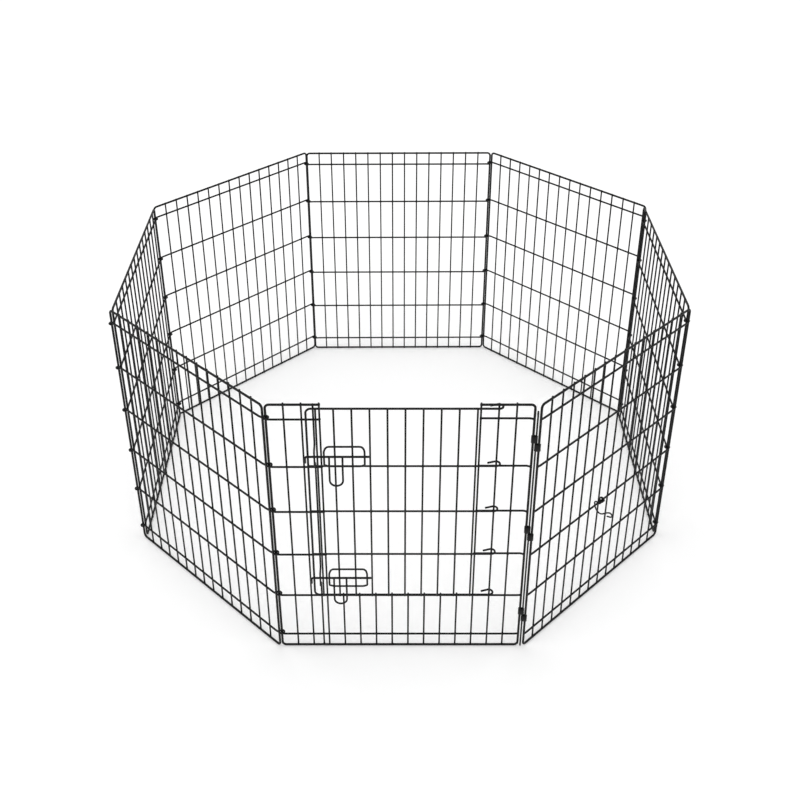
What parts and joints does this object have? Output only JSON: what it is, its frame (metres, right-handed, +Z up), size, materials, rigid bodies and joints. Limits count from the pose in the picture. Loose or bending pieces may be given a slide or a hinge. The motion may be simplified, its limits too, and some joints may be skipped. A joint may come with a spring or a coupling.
{
  "type": "pet playpen",
  "caption": "Folding octagonal wire pet playpen with a swinging door, sliding bolt latches, a lift-out corner pin and a storage hook.",
  "frame": {"origin": "middle of the bounding box, on the floor", "axes": "+Z up, the door panel faces -Y, +X to the right when facing the door"},
  "size_m": [1.4984, 1.5112, 0.762],
  "materials": {
    "coated_wire": "semi-gloss black coated steel wire",
    "coated_sheet": "satin black coated steel sheet"
  },
  "bodies": {
    "front_panel": {"front_panel": "coated_wire", "latch_keeper": "coated_wire", "front_band_top": "coated_sheet", "front_band_middle": "coated_sheet", "front_band_bottom": "coated_sheet"},
    "front_left_panel": {"front_left_panel": "coated_wire"},
    "left_panel": {"left_panel": "coated_wire"},
    "back_left_panel": {"back_left_panel": "coated_wire"},
    "back_panel": {"back_panel": "coated_wire"},
    "back_right_panel": {"back_right_panel": "coated_wire"},
    "right_panel": {"right_panel": "coated_wire"},
    "front_right_panel": {"front_right_panel": "coated_wire", "side_band_top": "coated_sheet", "side_band_middle": "coated_sheet", "side_band_bottom": "coated_sheet"},
    "door": {"door": "coated_wire", "upper_latch_guide": "coated_wire", "lower_latch_guide": "coated_wire"},
    "upper_latch": {"upper_latch_bolt": "coated_wire", "upper_latch_handle": "coated_wire"},
    "lower_latch": {"lower_latch_bolt": "coated_wire", "lower_latch_handle": "coated_wire"},
    "corner_pin": {"corner_pin": "coated_wire"},
    "storage_hook": {"storage_hook": "coated_wire"}
  },
  "joints": [
    {"name": "front_left_fold", "type": "hinge", "parent": "front_panel", "child": "front_left_panel", "pos_m": [-0.30479, -0.73174, 0], "axis": [0, 0, -1], "range_deg": [0, 126]},
    {"name": "left_fold", "type": "hinge", "parent": "front_left_panel", "child": "left_panel", "pos_m": [-0.74346, -0.30351, 0], "axis": [0, 0, 1], "range_deg": [0, 217]},
    {"name": "back_left_fold", "type": "hinge", "parent": "left_panel", "child": "back_left_panel", "pos_m": [-0.73962, 0.30951, 0], "axis": [0, 0, -1], "range_deg": [0, 126]},
    {"name": "back_fold", "type": "hinge", "parent": "back_left_panel", "child": "back_panel", "pos_m": [-0.31308, 0.74982, 0], "axis": [0, 0, 1], "range_deg": [0, 217]},
    {"name": "back_right_fold", "type": "hinge", "parent": "back_panel", "child": "back_right_panel", "pos_m": [0.29995, 0.74834, 0], "axis": [0, 0, -1], "range_deg": [0, 126]},
    {"name": "right_fold", "type": "hinge", "parent": "back_right_panel", "child": "right_panel", "pos_m": [0.7419, 0.32351, 0], "axis": [0, 0, 1], "range_deg": [0, 217]},
    {"name": "front_right_fold", "type": "hinge", "parent": "right_panel", "child": "front_right_panel", "pos_m": [0.74278, -0.28953, 0], "axis": [0, 0, -1], "range_deg": [0, 126]},
    {"name": "door_swing", "type": "hinge", "parent": "front_panel", "child": "door", "pos_m": [0.22388, -0.73174, 0], "axis": [0, 0, 1], "range_deg": [0, 165]},
    {"name": "upper_latch_slide", "type": "slide", "parent": "door", "child": "upper_latch", "axis": [1, 0, 0], "range_m": [0, 0.033]},
    {"name": "lower_latch_slide", "type": "slide", "parent": "door", "child": "lower_latch", "axis": [1, 0, 0], "range_m": [0, 0.033]},
    {"name": "corner_pin_lift", "type": "slide", "parent": "front_panel", "child": "corner_pin", "axis": [0, 0, 1], "range_m": [0, 0.68]},
    {"name": "storage_hook_swing", "type": "hinge", "parent": "front_right_panel", "child": "storage_hook", "pos_m": [0.51821, -0.52912, 0.31336], "axis": [-0.6975, -0.7166, 0], "range_deg": [-30, 35]}
  ],
  "couplings": [
    {"joint": "left_fold", "follows": "front_left_fold", "ratio": 1.7222},
    {"joint": "back_left_fold", "follows": "front_left_fold", "ratio": 1},
    {"joint": "back_fold", "follows": "front_left_fold", "ratio": 1.7222},
    {"joint": "back_right_fold", "follows": "front_left_fold", "ratio": 1},
    {"joint": "right_fold", "follows": "front_left_fold", "ratio": 1.7222},
    {"joint": "front_right_fold", "follows": "front_left_fold", "ratio": 1}
  ]
}
